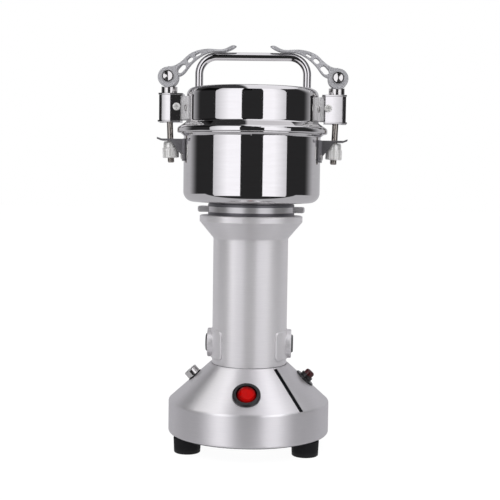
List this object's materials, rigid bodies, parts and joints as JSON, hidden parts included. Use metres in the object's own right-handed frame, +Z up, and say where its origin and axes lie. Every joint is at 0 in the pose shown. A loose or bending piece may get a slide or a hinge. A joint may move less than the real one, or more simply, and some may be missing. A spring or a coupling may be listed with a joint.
{
  "type": "electric dry grinder",
  "caption": "Upright bench dry grinder: painted motor column on a cone base, stainless bowl with blades, and a domed lid held by cam-lever clamps.",
  "frame": {"origin": "on the floor under the motor's axis, at the middle of the base", "axes": "+Z up along the motor's axis; the rocker switch faces -Y; the clamps are on -X and +X"},
  "size_m": [0.1602, 0.1372, 0.3409],
  "materials": {
    "silver_paint": "satin metallic silver",
    "stainless": "polished stainless steel",
    "lever_metal": "satin grey die casting",
    "bright_metal": "bright plated steel",
    "plain_steel": "plain turned steel",
    "core_steel": "stacked laminations",
    "cast_metal": "die cast",
    "copper": "enamelled copper wire",
    "contact_metal": "turned copper alloy",
    "black_rubber": "matt moulded rubber",
    "pale_rubber": "food-safe silicone",
    "black_plastic": "moulded black plastic",
    "dark_plastic": "moulded dark grey plastic",
    "red_plastic": "translucent red plastic",
    "white_plastic": "moulded pale plastic",
    "wire_sleeve": "insulated wire",
    "carbon": "pressed carbon",
    "clear_glass": "fuse tube with metal ends"
  },
  "bodies": {
    "frame": {"base_shell": "silver_paint", "base_plate": "plain_steel", "base_plate_screws": "plain_steel", "rubber_feet": "black_rubber", "foot_screws": "plain_steel", "switch_housing": "black_plastic", "switch_terminals": "contact_metal", "breaker_housing": "black_plastic", "fuse_holder": "black_plastic", "glass_fuse": "clear_glass", "cord_gland": "black_rubber", "wiring_loom": "wire_sleeve", "motor_column": "silver_paint", "column_screws": "plain_steel", "lower_end_bracket": "cast_metal", "upper_end_bracket": "cast_metal", "lower_bearing": "plain_steel", "upper_bearing": "plain_steel", "stator_core": "core_steel", "field_coils": "copper", "brush_holders": "contact_metal", "carbon_brushes": "carbon", "brush_springs": "plain_steel", "brush_caps": "dark_plastic", "mount_disc": "bright_metal", "neck_ring": "cast_metal", "bowl": "stainless", "bowl_screws": "plain_steel", "shaft_seal": "pale_rubber", "lid": "stainless", "lid_seal": "pale_rubber", "lid_handle": "stainless", "bracket_rivets": "bright_metal", "bowl_hooks": "stainless", "lid_brackets": "stainless", "clamp_boxes": "stainless", "box_screws": "bright_metal", "clamp_saddles": "bright_metal"},
    "rotor": {"motor_shaft": "plain_steel", "armature_core": "core_steel", "armature_windings": "copper", "commutator": "contact_metal", "cooling_fan": "white_plastic", "lower_blade": "plain_steel", "blade_spacer": "plain_steel", "upper_blade": "plain_steel", "blade_nut": "bright_metal"},
    "rocker": {"switch_rocker": "red_plastic"},
    "reset": {"reset_button": "red_plastic"},
    "fuse_lid": {"fuse_cap": "bright_metal"},
    "left_lever": {"left_cam_lever": "lever_metal", "left_pivot_pin": "bright_metal"},
    "left_rod": {"left_draw_rod": "plain_steel"},
    "left_nut": {"left_knurled_nut": "bright_metal"},
    "right_lever": {"right_cam_lever": "lever_metal", "right_pivot_pin": "bright_metal"},
    "right_rod": {"right_draw_rod": "plain_steel"},
    "right_nut": {"right_knurled_nut": "bright_metal"}
  },
  "joints": [
    {"name": "rotor_spin", "type": "hinge", "parent": "frame", "child": "rotor", "pos_m": [0, 0, 0.13], "axis": [0, 0, 1], "continuous": true},
    {"name": "rocker_rock", "type": "hinge", "parent": "frame", "child": "rocker", "pos_m": [0, -0.05256, 0.05286], "axis": [0, -0.7414, -0.6711], "range_deg": [0, 20]},
    {"name": "reset_press", "type": "slide", "parent": "frame", "child": "reset", "axis": [-0.6711, 0, -0.7414], "range_m": [0, 0.0022], "stiffness_N_per_m": 800, "springref_m": -0.001},
    {"name": "fuse_turn", "type": "hinge", "parent": "frame", "child": "fuse_lid", "pos_m": [-0.04643, 0, 0.06057], "axis": [-0.6711, 0, 0.7414], "range_deg": [0, 90]},
    {"name": "left_lever_flip", "type": "hinge", "parent": "frame", "child": "left_lever", "pos_m": [-0.0714, 0, 0.3148], "axis": [0, -1, 0], "range_deg": [0, 135]},
    {"name": "left_rod_swing", "type": "hinge", "parent": "frame", "child": "left_rod", "pos_m": [-0.0714, 0, 0.3148], "axis": [0, 1, 0], "range_deg": [0, 20]},
    {"name": "left_nut_turn", "type": "hinge", "parent": "left_rod", "child": "left_nut", "pos_m": [-0.06907, 0, 0.25114], "axis": [-0.0366, 0, 0.9993], "continuous": true},
    {"name": "right_lever_flip", "type": "hinge", "parent": "frame", "child": "right_lever", "pos_m": [0.0714, 0, 0.3148], "axis": [0, 1, 0], "range_deg": [0, 135]},
    {"name": "right_rod_swing", "type": "hinge", "parent": "frame", "child": "right_rod", "pos_m": [0.0714, 0, 0.3148], "axis": [0, -1, 0], "range_deg": [0, 20]},
    {"name": "right_nut_turn", "type": "hinge", "parent": "right_rod", "child": "right_nut", "pos_m": [0.06907, 0, 0.25114], "axis": [0.0366, 0, 0.9993], "continuous": true}
  ],
  "couplings": [
    {"joint": "left_rod_swing", "follows": "left_lever_flip", "ratio": 0.14815},
    {"joint": "right_rod_swing", "follows": "right_lever_flip", "ratio": 0.14815}
  ]
}
